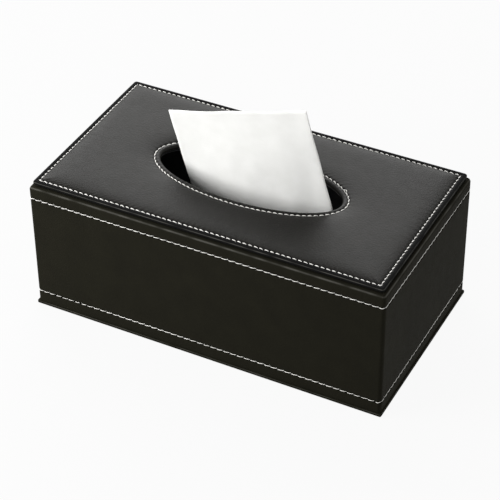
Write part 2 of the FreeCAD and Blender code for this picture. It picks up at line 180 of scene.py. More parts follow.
def inset_ring(half, radius, shares, inset):
    """Points of the outline moved inwards by inset, which broadcasts over a grid (shares, stations)."""
    spine, out, _ = rounded_outline(half, radius, shares)
    inset = np.broadcast_to(inset, (len(shares), np.shape(inset)[-1]))[..., None]
    arc = np.maximum(radius - inset, LEAST_RADIUS)
    shrunk = (half - inset - arc) / (half - radius)
    return spine[:, None, :] * shrunk + out[:, None, :] * arc


def oval_angles(half, shares):
    """The angles of an oval's points that lie evenly along it, from the middle of the front onwards."""
    angle = np.linspace(-math.pi / 2, 1.5 * math.pi, 4001)
    step = np.hypot(half[0] * np.sin(angle), half[1] * np.cos(angle))
    way = np.concatenate([[0], np.cumsum((step[1:] + step[:-1]) / 2 * np.diff(angle))])
    return np.interp(np.mod(shares, 1) * way[-1], way, angle), way[-1]


def oval_ring(half, angles, outset):
    """Points of an oval whose half sizes grow by outset, on a grid (angles, stations)."""
    outset = np.asarray(outset)
    return np.stack([np.cos(angles)[:, None] * (half[0] + outset),
                     np.sin(angles)[:, None] * (half[1] + outset)], -1)


print("way round the walls:", round(rounded_outline(wall_high[:2], 2, np.zeros(1))[2], 1), "mm")

# %% [markdown]
# Four small helpers serve every shape: even steps round an outline, heights for places seen from above,
# soft unevenness and a smooth hump. A hand-made thing is never quite even. Waves drawn by a seed give
# that unevenness and come out the same on every run.

# %% Helpers for shapes


def round_shares(count):
    """Even shares of the way round an outline, from zero up to one, which is zero again."""
    return np.arange(count) / count


def at_height(flat, height):
    """Places seen from above, each put at its height."""
    return np.concatenate([flat, np.broadcast_to(height, flat.shape[:-1])[..., None]], -1)


def soft_waves(points, length, seed):
    """Soft unevenness of about -1 to 1: six sine waves of about one length, their ways drawn by a seed."""
    draw = np.random.default_rng(seed)
    ways = draw.normal(size=(6, 3))
    ways *= draw.uniform(0.7, 1.4, (6, 1)) / np.linalg.norm(ways, axis=1, keepdims=True)
    phases = draw.uniform(0, 2 * math.pi, 6)
    return np.sin(points @ ways.T * (2 * math.pi / length) + phases).mean(-1) * 2


def bell(distance, width):
    """A smooth hump: one in the middle, and nearly zero two widths away."""
    return np.exp(-(distance / width) ** 2)


print("a hump at none, one and two widths:", np.round(bell(np.arange(3), 1), 3))

# %% [markdown]
# ## Finishes
#
# A finish is a small tree of nodes. Image textures would have to be painted and stored, so each pattern
# is worked out from the place on the object, at a scale taken from a real size in millimetres. One
# helper adds a node with its settings and links, and one turns the colours, written as sRGB hex values,
# to linear ones.

# %% Helpers for finishes


def linear(code):
    """An sRGB hex colour as linear red, green, blue and a full alpha."""
    levels = np.array([int(code[k:k + 2], 16) for k in (1, 3, 5)]) / 255
    low, high = levels / 12.92, ((levels + 0.055) / 1.055) ** 2.4
    return (*np.where(levels <= 0.04045, low, high).tolist(), 1.0)


def per_mm(size):
    """The scale at which a pattern on Object coordinates repeats about every size millimetres."""
    return 1 / (size * MM)


def node(tree, kind, settings=None, links=None):
    """Add one node, set its properties and inputs by name or number, and link sockets into its inputs."""
    made = tree.nodes.new(f"ShaderNode{kind}")
    for name, value in (settings or {}).items():
        if isinstance(name, int) or name in made.inputs:
            made.inputs[name].default_value = value
        else:
            setattr(made, name, value)
    for name, socket in (links or {}).items():
        tree.links.new(socket, made.inputs[name])
    return made


def new_finish(name):
    """An empty material and its Object coordinates."""
    finish = bpy.data.materials.new(name)
    finish.use_nodes = True
    finish.node_tree.nodes.clear()
    return finish, finish.node_tree, node(finish.node_tree, "TexCoord").outputs["Object"]


print("mid grey as linear light:", round(linear("#808080")[0], 3))

# %% [markdown]
# ## Black leatherette
#
# The skin is PU leatherette: a knit cloth with a polyurethane coat, embossed by a hot roller with a
# fine pebble grain. To the eye it is black with a satin sheen that breaks up into tiny facets, and duller
# where the stitching pulls it in. There its colour is also darkened as painted shade, and a thin line
# along each folded edge is lightened as a painted highlight. Pebbles are cells of a Voronoi pattern. Real
# ones measure about half a millimetre and would vanish in the picture, so they are drawn somewhat
# coarser. The lid's skin is stretched over its pad and has the brighter sheen; the walls' skin is duller,
# and its colour is lighter and warmer, painted in for the warm fill light on the walls.

# %% Black leatherette
PEBBLE = 1.3
PEBBLE_DEPTH = 0.09
MOTTLE = 16.0
CREASE_DULLING = 0.45


def black_leatherette(name, dark, light, gloss, roughness):
    """Pebbles and pores raise the skin; mottle tints it, painted shade darkens the creases, a painted highlight
    lightens the folded edges, and creases dull it.
    """
    finish, tree, place = new_finish(name)
    wander = node(tree, "TexNoise", {"Scale": per_mm(6), "Detail": 2.0}, {"Vector": place})
    pebbles = node(tree, "TexVoronoi",
                   {"feature": "SMOOTH_F1", "Scale": per_mm(PEBBLE), "Smoothness": 0.35}, {"Vector": place})
    pores = node(tree, "TexNoise", {"Scale": per_mm(0.3), "Detail": 3.0}, {"Vector": place})
    mottle = node(tree, "TexNoise", {"Scale": per_mm(MOTTLE), "Detail": 3.0}, {"Vector": place})
    crease = node(tree, "Attribute", {"attribute_name": "crease"}).outputs["Fac"]
    grain = node(tree, "Bump", {"Strength": 0.7, "Distance": PEBBLE_DEPTH * MM, "invert": True},
                 {"Height": pebbles.outputs["Distance"]})
    skin = node(tree, "Bump", {"Strength": 0.35, "Distance": PEBBLE_DEPTH * MM},
                {"Height": pores.outputs["Fac"], "Normal": grain.outputs["Normal"]})
    tone = node(tree, "Mix", {"data_type": "RGBA", 6: linear(dark), 7: linear(light)},
                {"Factor": mottle.outputs["Fac"]})
    # Painted shade: the colour goes towards near black where the skin is creased or pitted.
    shaded = node(tree, "Mix", {"data_type": "RGBA", 7: linear("#040404")},
                {"Factor": crease, 6: tone.outputs[2]})
    # Painted highlight: the colour goes towards grey along a thin line on each folded edge.
    wear = node(tree, "Attribute", {"attribute_name": "wear"}).outputs["Fac"]
    highlighted = node(tree, "Mix", {"data_type": "RGBA", 7: linear("#565550")},
                  {"Factor": wear, 6: shaded.outputs[2]})
    rough = node(tree, "MapRange", {"To Min": roughness - 0.06, "To Max": roughness + 0.06},
                 {"Value": wander.outputs["Fac"]})
    dull = node(tree, "Math", {"operation": "MULTIPLY_ADD", 1: CREASE_DULLING},
                {0: crease, 2: rough.outputs["Result"]})
    shader = node(tree, "BsdfPrincipled", {"Specular IOR Level": gloss},
                  {"Base Color": highlighted.outputs[2], "Roughness": dull.outputs[0],
                   "Normal": skin.outputs["Normal"]})
    node(tree, "OutputMaterial", links={"Surface": shader.outputs[0]})
    return finish


leatherette = black_leatherette("black embossed PU leatherette", "#0f0e0c", "#151410", 0.11, 0.44)
# The walls' copy is duller, and its colour is lighter and warmer, painted in for the warm fill light on the walls.
warm_lit_wall_leatherette = black_leatherette("dull black PU leatherette with painted warm light", "#1c1b16", "#22211a", 0.006, 0.5)
print("finishes:", leatherette.name, "and", warm_lit_wall_leatherette.name)

# %% [markdown]
# ## Sewing thread
#
# The thread is bonded polyester, three plies laid together with a twist. The plies catch the light as
# slanting ridges, so each stitch carries its own number, which grows along and round the thread. A sine
# of that number raises the ridges, and it lightens them and darkens the grooves between them as painted
# highlight and painted shade.

# %% Off-white thread


def off_white_thread():
    """A sine of the twist raises the plies, and paints them lighter on the ridges and darker in the grooves, as
    painted highlight and shade.
    """
    finish, tree, _ = new_finish("off-white bonded polyester thread")
    twist = node(tree, "Attribute", {"attribute_name": "twist"}).outputs["Fac"]
    ridge = node(tree, "Math", {"operation": "SINE"}, {0: twist})
    share = node(tree, "MapRange", {"From Min": -1.0, "From Max": 1.0}, {"Value": ridge.outputs[0]})
    bump = node(tree, "Bump", {"Strength": 0.6, "Distance": 0.06 * MM}, {"Height": share.outputs["Result"]})
    # Painted highlight on the ridges and painted shade in the grooves.
    tone = node(tree, "Mix", {"data_type": "RGBA", 6: linear("#e6e3dc"), 7: linear("#fbfaf6")},
                {"Factor": share.outputs["Result"]})
    shader = node(tree, "BsdfPrincipled",
                  {"Roughness": 0.55, "Specular IOR Level": 0.4, "Sheen Weight": 0.2},
                  {"Base Color": tone.outputs[2], "Normal": bump.outputs["Normal"]})
    node(tree, "OutputMaterial", links={"Surface": shader.outputs[0]})
    return finish


thread = off_white_thread()
print("finish:", thread.name)

# %% [markdown]
# ## Tissue paper
#
# Facial tissue is creped: the wet web is scraped off a hot drum, which leaves fine cross ridges, soft
# to the eye. It is white, matt and thin enough to let light through, so the shader is mostly a plain
# surface with some light passed on from behind. The ridges are a noise drawn out along one way.

# %% White tissue


def white_tissue(name, passed_on):
    """A drawn-out noise raises the crepe, a coarser one clouds the white; passed on is a share of light."""
    finish, tree, place = new_finish(name)
    drawn = node(tree, "Mapping", {"Scale": (per_mm(5), per_mm(5), per_mm(0.8))}, {"Vector": place})
    crepe = node(tree, "TexNoise", {"Scale": 1.0, "Detail": 3.0}, {"Vector": drawn.outputs["Vector"]})
    cloud = node(tree, "TexNoise", {"Scale": per_mm(9), "Detail": 2.0}, {"Vector": place})
    bump = node(tree, "Bump", {"Strength": 0.8, "Distance": 0.12 * MM}, {"Height": crepe.outputs["Fac"]})
    tone = node(tree, "Mix", {"data_type": "RGBA", 6: linear("#f1f1ee"), 7: linear("#fcfcfa")},
                {"Factor": cloud.outputs["Fac"]})
    shader = node(tree, "BsdfPrincipled", {"Roughness": 0.95, "Specular IOR Level": 0.1},
                  {"Base Color": tone.outputs[2], "Normal": bump.outputs["Normal"]})
    if passed_on:
        through = node(tree, "BsdfTranslucent",
                       links={"Color": tone.outputs[2], "Normal": bump.outputs["Normal"]})
        shader = node(tree, "MixShader", {0: passed_on}, {1: shader.outputs[0], 2: through.outputs[0]})
    node(tree, "OutputMaterial", links={"Surface": shader.outputs[0]})
    return finish


tissue_paper = white_tissue("creped white tissue paper", 0.2)
stacked_paper = white_tissue("stacked white tissue paper", 0.0)
print("finishes:", tissue_paper.name, "and", stacked_paper.name)

# %% [markdown]
# ## Napped and felted cloth, foam, board and metal
#
# The lining is brushed flannel, whose raised nap has no clear weave and a faint sheen at its edges. The
# felt under the base is needled fibre, coarser and duller. Foam is a mass of open cells. Fibreboard is
# pressed wood fibre with fine specks. The brads are drawn steel wire, and the magnets are
# nickel-plated.

# %% Cloth, foam, board and metal


def matt_finish(name, pattern, settings, grain, colours, strength, depth, surface):
    """Matt stuff: one pattern, of the grain's size in millimetres, tints the surface and raises it."""
    finish, tree, place = new_finish(name)
    spots = node(tree, pattern, {"Scale": per_mm(grain), **settings}, {"Vector": place}).outputs[0]
    tone = node(tree, "Mix", {"data_type": "RGBA", 6: linear(colours[0]), 7: linear(colours[1])},
                {"Factor": spots})
    bump = node(tree, "Bump", {"Strength": strength, "Distance": depth * MM}, {"Height": spots})
    shader = node(tree, "BsdfPrincipled", surface,
                  {"Base Color": tone.outputs[2], "Normal": bump.outputs["Normal"]})
    node(tree, "OutputMaterial", links={"Surface": shader.outputs[0]})
    return finish


def fibre_cloth(name, colours, fibre, sheen):
    """Cloth with loose fibres, which stand up by a fifth of their size."""
    surface = {"Roughness": 1.0, "Specular IOR Level": 0.05, "Sheen Weight": sheen}
    return matt_finish(name, "TexNoise", {"Detail": 4.0, "Roughness": 0.7}, fibre, colours, 0.8,
                       0.2 * fibre, surface)


def worked_metal(name, dull, bright, streak, roughness):
    """Bare metal: a noise drawn out along one way stands for the marks of the die or the plating."""
    finish, tree, place = new_finish(name)
    drawn = node(tree, "Mapping", {"Scale": (per_mm(streak), per_mm(streak), per_mm(8 * streak))},
                 {"Vector": place})
    marks = node(tree, "TexNoise", {"Scale": 1.0, "Detail": 3.0}, {"Vector": drawn.outputs["Vector"]})
    tone = node(tree, "Mix", {"data_type": "RGBA", 6: linear(dull), 7: linear(bright)},
                {"Factor": marks.outputs["Fac"]})
    rough = node(tree, "MapRange", {"To Min": roughness - 0.08, "To Max": roughness + 0.08},
                 {"Value": marks.outputs["Fac"]})
    shader = node(tree, "BsdfPrincipled", {"Metallic": 1.0},
                  {"Base Color": tone.outputs[2], "Roughness": rough.outputs["Result"]})
    node(tree, "OutputMaterial", links={"Surface": shader.outputs[0]})
    return finish


flannel = fibre_cloth("brushed black flannel", ("#0b0b0c", "#17171a"), 0.5, 0.25)
felt = fibre_cloth("needled black felt", ("#0a0a0a", "#1b1b1b"), 0.9, 0.1)
foam = matt_finish("open-cell polyurethane foam", "TexVoronoi", {}, 0.8, ("#b9ae8c", "#e6dfc6"), 0.8, 0.2,
                   {"Roughness": 0.95, "Specular IOR Level": 0.1})
fibreboard = matt_finish("pressed wood fibreboard", "TexNoise", {"Detail": 4.0}, 0.9,
                         ("#8a6a47", "#b8956b"), 0.4, 0.05, {"Roughness": 0.85, "Specular IOR Level": 0.2})
steel = worked_metal("drawn steel wire", "#8d8f92", "#b4b6b9", 0.3, 0.35)
nickel = worked_metal("nickel-plated magnet", "#b0aea6", "#cfcdc4", 0.5, 0.22)
print("finishes:", len(bpy.data.materials))

# %% [markdown]
# ## The wrapped walls
#
# One length of leatherette is glued round the four boards, rolled over the rim and turned down inside.
# A box with bevels would give the bulk, but not the roll of the rim, the pull of the stitches or the
# gathered corners. So the section of the skin is carried round the outline as a closed loop: up the
# outside, over the rim, down the inside and back along the boards. Levels are packed more closely near
# the two seams.

# %% The section of the wall's skin
WALL_CORNER = 2.2
RIM_RADIUS = 2.2
WALL_SKIN = 0.9
MOUTH_INSET = 5.8
TURN_IN = 9.0
WALL_STITCH = 4.65
POINTS_PER_STITCH = 8
WALL_LEVELS = 34
PACKING = 14
PACKING_WIDTH = 2.4


def packed_levels(low, high, seams, count):
    """Levels from low to high whose spacing shrinks near the seams: steps of equal share of a density."""
    fine = np.linspace(low, high, 2000)
    density = 1 + sum(PACKING * bell(fine - seam, PACKING_WIDTH) for seam in seams)
    return np.interp(np.linspace(0, 1, count), np.cumsum(density) / density.sum(), fine)


def wall_section():
    """Insets and heights of the closed section, from the foot of the outside upwards."""
    foot, rim = wall_low[2], wall_high[2]
    levels = packed_levels(foot + 0.4, rim - RIM_RADIUS, (lower_seam, upper_seam), WALL_LEVELS)
    roll = np.radians(np.linspace(11, 90, 8))
    lip = np.radians(np.linspace(0, 90, 5))
    lip_radius = WALL_SKIN
    inside = MOUTH_INSET - WALL_SKIN
    inset = [[0.3, 0.05], levels * 0, RIM_RADIUS * (1 - np.cos(roll)), [3.0, 4.0],
             inside + lip_radius * np.sin(lip), [MOUTH_INSET] * 3, [inside + 0.05] * 2,
             [inside - 0.6, RIM_RADIUS, WALL_SKIN + 0.05, WALL_SKIN + 0.05]]
    height = [[foot, foot + 0.1], levels, rim - RIM_RADIUS + RIM_RADIUS * np.sin(roll), [rim, rim],
              rim - lip_radius + lip_radius * np.cos(lip), rim - np.array([3.5, TURN_IN - 0.3, TURN_IN]),
              [rim - TURN_IN, rim - WALL_SKIN - 0.4], rim - np.array([0.95, 0.95, 2.2]), [foot]]
    return np.concatenate(inset), np.concatenate(height)


wall_inset, wall_level = wall_section()
wall_stitches = round(rounded_outline(wall_high[:2], WALL_CORNER, np.zeros(1))[2] / WALL_STITCH)
print("section points:", len(wall_inset), "stitches in a row:", wall_stitches)

# %% [markdown]
# The stitches draw the skin in: each seam is a shallow groove, each needle hole a small pit, and
# between the holes the skin puckers. At the four corners the skin is gathered over the rim, so the
# shoulder there is lower, rounder and lightly pleated. A mask that is one where the skin is pulled in
# most dulls these places and darkens them as painted shade, and a painted highlight lightens a thin line
# along the folded edge, half way round its bend.

# %% Wrap the walls
GROOVE, GROOVE_WIDTH = 0.28, 0.8
PIT, PIT_LENGTH, PIT_WIDTH = 0.3, 0.55, 0.6
PUCKER, PUCKER_REACH = 0.12, 1.8
PUCKER_WAVE = 14
HIGHLIGHT_ANGLE, HIGHLIGHT_SPREAD = 40, 10
WALL_EASE, WALL_WAVE = 0.1, 70
SHOULDER_DROP = 0.25
SHOULDER_REACH = 4.5
PLEAT = 0.16
PLEATS_PER_STITCH = 2.5


def seam_pull(along, across, uneven):
    """How far a stitched seam draws the skin in, and a mask of how creased it is, which paints shade there and
    dulls the skin.

    Along counts stitches, so whole numbers are needle holes. Across is the distance from the seam. The
    groove and the pits are humps across the seam, and the puckers a wave that fades away from it.
    """
    hole = np.abs(along - np.round(along)) * WALL_STITCH
    pit = bell(hole, PIT_LENGTH) * bell(across, PIT_WIDTH)
    wave = np.cos(2 * math.pi * along) * np.exp(-np.abs(across) / PUCKER_REACH) * (0.7 + 0.5 * uneven)
    pull = GROOVE * bell(across, GROOVE_WIDTH) + PIT * pit + PUCKER * wave
    # The second number is a mask of painted shade along the seam and in the needle holes; it also dulls the skin.
    return pull, np.clip(0.55 * bell(across, 0.7) + 0.9 * pit, 0, 1)


def edge_wear(inset, drop, radius, uneven):
    """A painted highlight along a rounded edge, from insets and drops at its corner: most at half way round the
    bend.
    """
    bend = np.degrees(np.arctan2(radius - drop, radius - inset))
    rounded = (inset < radius) & (drop < radius)
    return np.where(rounded, bell(bend - HIGHLIGHT_ANGLE, HIGHLIGHT_SPREAD), 0) * np.clip(0.75 + 0.5 * uneven, 0, 1)


def wrapped_walls():
    """The section carried round the walls, moved inwards by the pull of the seams and a slow wave.

    Near a corner, a hump in the distance from it, the shoulder also drops and a sine pleats it.
    """
    shares = round_shares(wall_stitches * POINTS_PER_STITCH)
    half = wall_high[:2]
    flat = inset_ring(half, WALL_CORNER, shares, wall_inset)
    level = np.broadcast_to(wall_level, flat.shape[:2])
    points = at_height(flat, level)
    outside = (wall_inset < RIM_RADIUS) & (np.arange(len(wall_inset)) < len(wall_inset) - 2)
    uneven = soft_waves(points, PUCKER_WAVE, 3)
    along = np.broadcast_to((shares * wall_stitches)[:, None], level.shape)
    pulls = [seam_pull(along, level - seam, uneven) for seam in (upper_seam, lower_seam)]
    pull = sum(part[0] for part in pulls) + WALL_EASE * soft_waves(points, WALL_WAVE, 5)
    to_corner = half - np.abs(flat[:, 0])
    corner = bell(np.hypot(to_corner[:, 0], to_corner[:, 1])[:, None], SHOULDER_REACH)
    high = np.clip((level - upper_seam) / (wall_high[2] - upper_seam), 0, 1) ** 2
    pleat = PLEAT * np.sin(along * 2 * math.pi * PLEATS_PER_STITCH) * corner * high
    pull = pull + (0.5 * SHOULDER_DROP * corner + pleat) * high
    moved = inset_ring(half, WALL_CORNER, shares, wall_inset + np.where(outside, pull, 0))
    points = at_height(moved, level - SHOULDER_DROP * corner * high)
    # Painted shade where the seams pull the skin in, and a painted highlight along the rim's folded edge.
    crease = np.where(outside, np.maximum(pulls[0][1], pulls[1][1]), 0)
    wear = np.where(outside, edge_wear(wall_inset, wall_high[2] - wall_level, RIM_RADIUS, uneven), 0)
    return add_piece("wall_wrap", points, [grid_faces(*level.shape)], warm_lit_wall_leatherette, crease=crease,
                     wear=wear)


wall_wrap = wrapped_walls()
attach(wall_wrap, "box")
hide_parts("side_wrap")

# %% [markdown]
# ## The wrapped base
#
# The walls stand on a thin board in its own skin, which shows as a narrow ledge all round. The packed
# solid has the right size, but a glued skin rounds its edges, and a thin line along the top edge is
# lightened as a painted highlight. Its section starts under the middle of the board, goes out and up
# round the edge to the hem on top, and returns inside; the spines where the rings shrink to a line are
# welded.

# %% Wrap the base
BASE_CORNER = 1.0
BASE_SKIN = 0.4
BASE_TURN = 8.0
BASE_ROUND = 0.6
BASE_POINTS = 900
base_low, base_high = box_mm("base_wrap")


def welded(piece):
    """Merge points that lie together, as on a spine where rings have shrunk to a line."""
    form = bmesh.new()
    form.from_mesh(piece.data)
    bmesh.ops.remove_doubles(form, verts=form.verts, dist=0.01 * MM)
    bmesh.ops.dissolve_degenerate(form, edges=form.edges, dist=0.001 * MM)
    form.to_mesh(piece.data)
    form.free()
    return piece


def wrapped_base():
    """A section carried round the base: quarter arcs for the edge, straight runs for hem and underside."""
    foot, top = base_low[2], base_high[2]
    middle = base_high[1] - LEAST_RADIUS
    bend = np.radians(np.linspace(0, 90, 6))
    lower, upper = BASE_ROUND * (1 - np.sin(bend)), BASE_ROUND * (1 - np.cos(bend))
    inset = np.concatenate([[middle, 20, 5], lower, upper, [4, BASE_TURN, BASE_TURN],
                            [BASE_SKIN + 0.03] * 2, [middle]])
    level = np.concatenate([[foot] * 3, foot + upper[:6], top - lower, [top, top, top - BASE_SKIN + 0.03],
                            [top - BASE_SKIN + 0.03, foot + BASE_SKIN - 0.03], [foot + BASE_SKIN - 0.03]])
    flat = inset_ring(base_high[:2], BASE_CORNER, round_shares(BASE_POINTS), inset)
    points = at_height(flat, level)
    # A painted highlight along the board's upper edge.
    wear = edge_wear(inset, top - level, BASE_ROUND, soft_waves(points, PUCKER_WAVE, 7))
    return welded(add_piece("base_skin", points, [grid_faces(*flat.shape[:2], loop_across=False)],
                            warm_lit_wall_leatherette, wear=wear))


base_skin = wrapped_base()
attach(base_skin, "box")
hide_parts("base_wrap")

# %% [markdown]
# ## The stitches
#
# On the real box each stitch is a short length of thread that rises out of one needle hole, lies across
# the skin and dives into the next, slanting a little because the two threads of a lockstitch pull
# against each other. A curve with a bevel for each stitch would be hundreds of objects. Here one array
# holds all the stitches of a row: a route along the seam gives each ring of each tube its place.

# %% Sew a row of stitches
STITCH_RINGS = 7
STITCH_SIDES = 6
STITCH_SLANT = 0.28
STITCH_JITTER, SLANT_JITTER = 0.015, 0.3
STITCH_CROWN, STITCH_SINK = 0.95, 0.76
THREAD_FLATTENING = 0.8
TWIST_PITCH = 0.9


def stitch_faces(count):
    """The faces of count tubes: quads round each tube, and a cap at each end."""
    tube = grid_faces(STITCH_RINGS, STITCH_SIDES, loop_around=False)
    first = np.arange(STITCH_SIDES)
    caps = np.stack([first[::-1], first + (STITCH_RINGS - 1) * STITCH_SIDES])
    step = (np.arange(count) * STITCH_RINGS * STITCH_SIDES)[:, None, None]
    return [(tube + step).reshape(-1, 4), (caps + step).reshape(-1, STITCH_SIDES)]


def sew(name, route, starts, pitch, laid_width, gap_share, seed, lift=0.0, bow=0.0):
    """Tubes along a route: the thread's height is a flattened hump, and its section a flattened circle.

    Route takes numbers of stitches and gives a place on the skin, the way out of it and the way across.
    A bow carries the middle of a stitch aside, as in a loop that was not pulled tight.
    """
    draw = np.random.default_rng(seed)
    run = np.linspace(0, 1, STITCH_RINGS)
    jitter = draw.uniform(-1, 1, (2, len(starts), 1))
    along = starts[:, None] + gap_share / 2 + run * (1 - gap_share) + STITCH_JITTER * jitter[0]
    place, out, across = route(along)
    hump = np.sin(math.pi * np.clip(run, 0.02, 0.98)) ** 0.35
    rise = thread_width * (STITCH_CROWN * hump - STITCH_SINK) + lift
    slant = STITCH_SLANT * (2 * run - 1) * (1 + SLANT_JITTER * jitter[1]) + bow * np.sin(math.pi * run)
    middle = place + out * rise[None, :, None] + across * slant[..., None]
    turn = np.linspace(0, 2 * math.pi, STITCH_SIDES, endpoint=False)
    width = laid_width / 2 * (0.7 + 0.3 * hump)[None, :, None, None]
    section = out[:, :, None] * np.cos(turn)[:, None] * THREAD_FLATTENING
    section = section + across[:, :, None] * np.sin(turn)[:, None]
    points = middle[:, :, None] + section * width
    twist = 2 * math.pi * (run[:, None] * pitch / TWIST_PITCH) + turn
    twist = np.broadcast_to(twist, points.shape[:3])
    return add_piece(name, points, stitch_faces(len(starts)), thread, twist=twist)


print("faces in a stitch:", sum(len(block) for block in stitch_faces(1)))

# %% Sew the walls
WALL_THREAD = 0.62 * thread_width
WALL_GAP_SHARE = 0.03


def wall_route(level):
    """A route round the walls at a level, with the groove's depth taken off."""
    def route(along):
        spine, out, _ = rounded_outline(wall_high[:2], WALL_CORNER, along / wall_stitches)
        flat = spine + out * (WALL_CORNER - GROOVE)
        return at_height(flat, level), at_height(out, 0.0), at_height(np.zeros_like(out), 1.0)
    return route


for row_name, level, seed in (("upper_seam", upper_seam, 11), ("lower_seam", lower_seam, 12)):
    row = sew(f"{row_name}_stitches", wall_route(level), np.arange(wall_stitches), WALL_STITCH, WALL_THREAD,
              WALL_GAP_SHARE, seed)
    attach(row, "box")
    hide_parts(f"{row_name}_thread")

# %% [markdown]
# ## The padded lid
#
# The lid is a board with a sheet of foam on it, covered in leatherette that is turned under at the
# outer edge and at the oval. Two rows of stitches press the foam flat, so the top swells between them.
# The cover is a grid that runs from the outer edge to the opening: rings of the rounded rectangle, then
# rings that turn step by step into the oval, then rings of the oval.

# %% The lid's outlines
LID_CORNER = 2.0
LID_SKIN = 0.6
LID_TURN = 10.0
EDGE_TOP_ROUND = 0.9
OVAL_TOP_ROUND = 1.6
OVAL_BAND = 4.0
OVAL_TURN = 6.0
LID_STITCH = 3.53

lid_half = lid_high[:2]
oval_half = oval_seam - OVAL_BAND
seam_inset = lid_half[0] - border_seam[0]
border_stitches = round(rounded_outline(border_seam, LID_CORNER, np.zeros(1))[2] / LID_STITCH)
oval_stitches = round(oval_angles(oval_seam, np.zeros(1))[1] / LID_STITCH)
print("border stitches:", border_stitches, "opening stitches:", oval_stitches)


def lid_flat(shares, oval_share, inset, outset):
    """Rings of the lid seen from above: a mix of a ring of the rectangle and a ring of the oval."""
    angles, _ = oval_angles(oval_seam, shares)
    mix = oval_share[None, :, None]
    border = inset_ring(lid_half, LID_CORNER, shares, np.broadcast_to(inset, oval_share.shape))
    opening = oval_ring(oval_half, angles, np.broadcast_to(outset, oval_share.shape))
    return (1 - mix) * border + mix * opening


# %% [markdown]
# How the skin settles over the foam is left to a cloth simulation, because its slack, its tight corners
# and its small wrinkles beside a seam come out of it by themselves. A flat ring of cloth is held along
# both seams, given a little spare length and pressed up from below for twenty frames. The board stops
# it below, and the foam, once it is at its full thickness, above, so its heights are eased into that
# limit. Then the trial cloth is deleted.

# %% Hold the skin at its seams and press it
PANEL_AROUND = 264
PANEL_ACROSS = 34
SETTLING_FRAMES = 20
FOAM_PUSH = 100.0
SPARE_SKIN = 0.0004
FULL_RISE = 1.35 * crown_rise
panel_steps = (1 - np.cos(np.linspace(0, math.pi, PANEL_ACROSS))) / 2


def hold_and_press(panel, held):
    """A cloth modifier without gravity: held points stay, and a pressure lifts the rest."""
    panel.vertex_groups.new(name="seams").add(held, 1.0, "REPLACE")
    cloth = panel.modifiers.new("settling", "CLOTH")
    cloth.collision_settings.use_collision = False
    cloth.point_cache.frame_end = SETTLING_FRAMES
    skin = cloth.settings
    skin.vertex_group_mass = "seams"
    skin.use_pressure = True
    skin.uniform_pressure_force = FOAM_PUSH
    skin.effector_weights.gravity = 0
    skin.shrink_min = -SPARE_SKIN
    skin.mass = 0.001
    skin.tension_stiffness = skin.compression_stiffness = 5
    skin.shear_stiffness = 2
    skin.bending_stiffness = 0.2


print("points of the trial cloth:", PANEL_AROUND * PANEL_ACROSS)

# %% Let the skin settle over the foam


def settled_panel():
    """Heights of the settled skin, on a grid round the lid and from the border seam to the oval seam."""
    flat = lid_flat(round_shares(PANEL_AROUND), panel_steps, seam_inset, OVAL_BAND)
    points = at_height(flat, 0.0)
    faces = grid_faces(PANEL_AROUND, PANEL_ACROSS, loop_across=False)
    panel = add_piece("trial_panel", points, [faces], leatherette)
    index = np.arange(PANEL_AROUND * PANEL_ACROSS).reshape(PANEL_AROUND, PANEL_ACROSS)
    hold_and_press(panel, index[:, [0, -1]].ravel().tolist())
    for step in range(1, SETTLING_FRAMES + 1):
        bpy.context.scene.frame_set(step)
    settled = panel.evaluated_get(bpy.context.evaluated_depsgraph_get()).to_mesh()
    places = np.empty(points.size)
    settled.vertices.foreach_get("co", places)
    bpy.data.objects.remove(panel)
    bpy.context.scene.frame_set(1)
    lifted = places.reshape(points.shape)[..., 2] / MM
    print("skin lifted by", round(lifted.min(), 2), "to", round(lifted.max(), 2), "mm before the limits")
    return FULL_RISE * np.tanh(np.maximum(lifted, 0) / (0.8 * FULL_RISE))


panel_height = settled_panel()
print("settled height, at most:", round(panel_height.max(), 2), "mm")


def pad_height(count, oval_share):
    """The settled height at count places round the lid: waves fill in round it, straight lines across."""
    finer = np.fft.irfft(np.fft.rfft(panel_height, axis=0), count, axis=0) * count / PANEL_AROUND
    across = np.stack([np.interp(oval_share, panel_steps, unit) for unit in np.eye(PANEL_ACROSS)])
    return finer @ across


# %% [markdown]
# The seams come after the settling. Each is the same groove with pits and puckers as on the walls.
# Beyond the seams, towards the edges, the turned skin stands up as a low roll.

# %% The height of the lid's top
EDGE_ROLL = 0.28
OVAL_ROLL = 0.2
PAD_UNEVENNESS = 0.12


def outside_oval(x, y):
    """Roughly how far a point lies outside the oval seam: its level over the level's slope."""
    q = np.hypot(x / oval_seam[0], y / oval_seam[1])
    slope = np.hypot(x / oval_seam[0] ** 2, y / oval_seam[1] ** 2)
    return (q - 1) * q / slope


def lid_top(flat, shares, oval_share):
    """The top's height and its mask of painted shade and dulling: margin, settled skin and rolls, less the pull of
    the seams.
    """
    x, y = flat[..., 0], flat[..., 1]
    inner = outside_oval(x, y)
    outer = (lid_half - np.abs(flat)).min(-1) - seam_inset
    points = at_height(flat, 0.0)
    uneven = soft_waves(points, 12, 21)
    swell = 1 + PAD_UNEVENNESS * soft_waves(points, 48, 22)
    height = lid_margin + pad_height(len(shares), oval_share) * swell
    rolls = EDGE_ROLL * bell(outer + 1.6, 1.0) + OVAL_ROLL * bell(inner + 1.9, 1.2)
    # A mask of painted shade along both seams, which also dulls the skin.
    crease = 0
    for across, stitches in ((outer, border_stitches), (inner, oval_stitches)):
        pull, seam_crease = seam_pull(shares[:, None] * stitches, across, uneven)
        height = height - pull
        crease = np.maximum(crease, seam_crease)
    return height + rolls, crease


print("from the oval seam to the border seam:", round(outside_oval(0.0, border_seam[1]), 1), "mm")

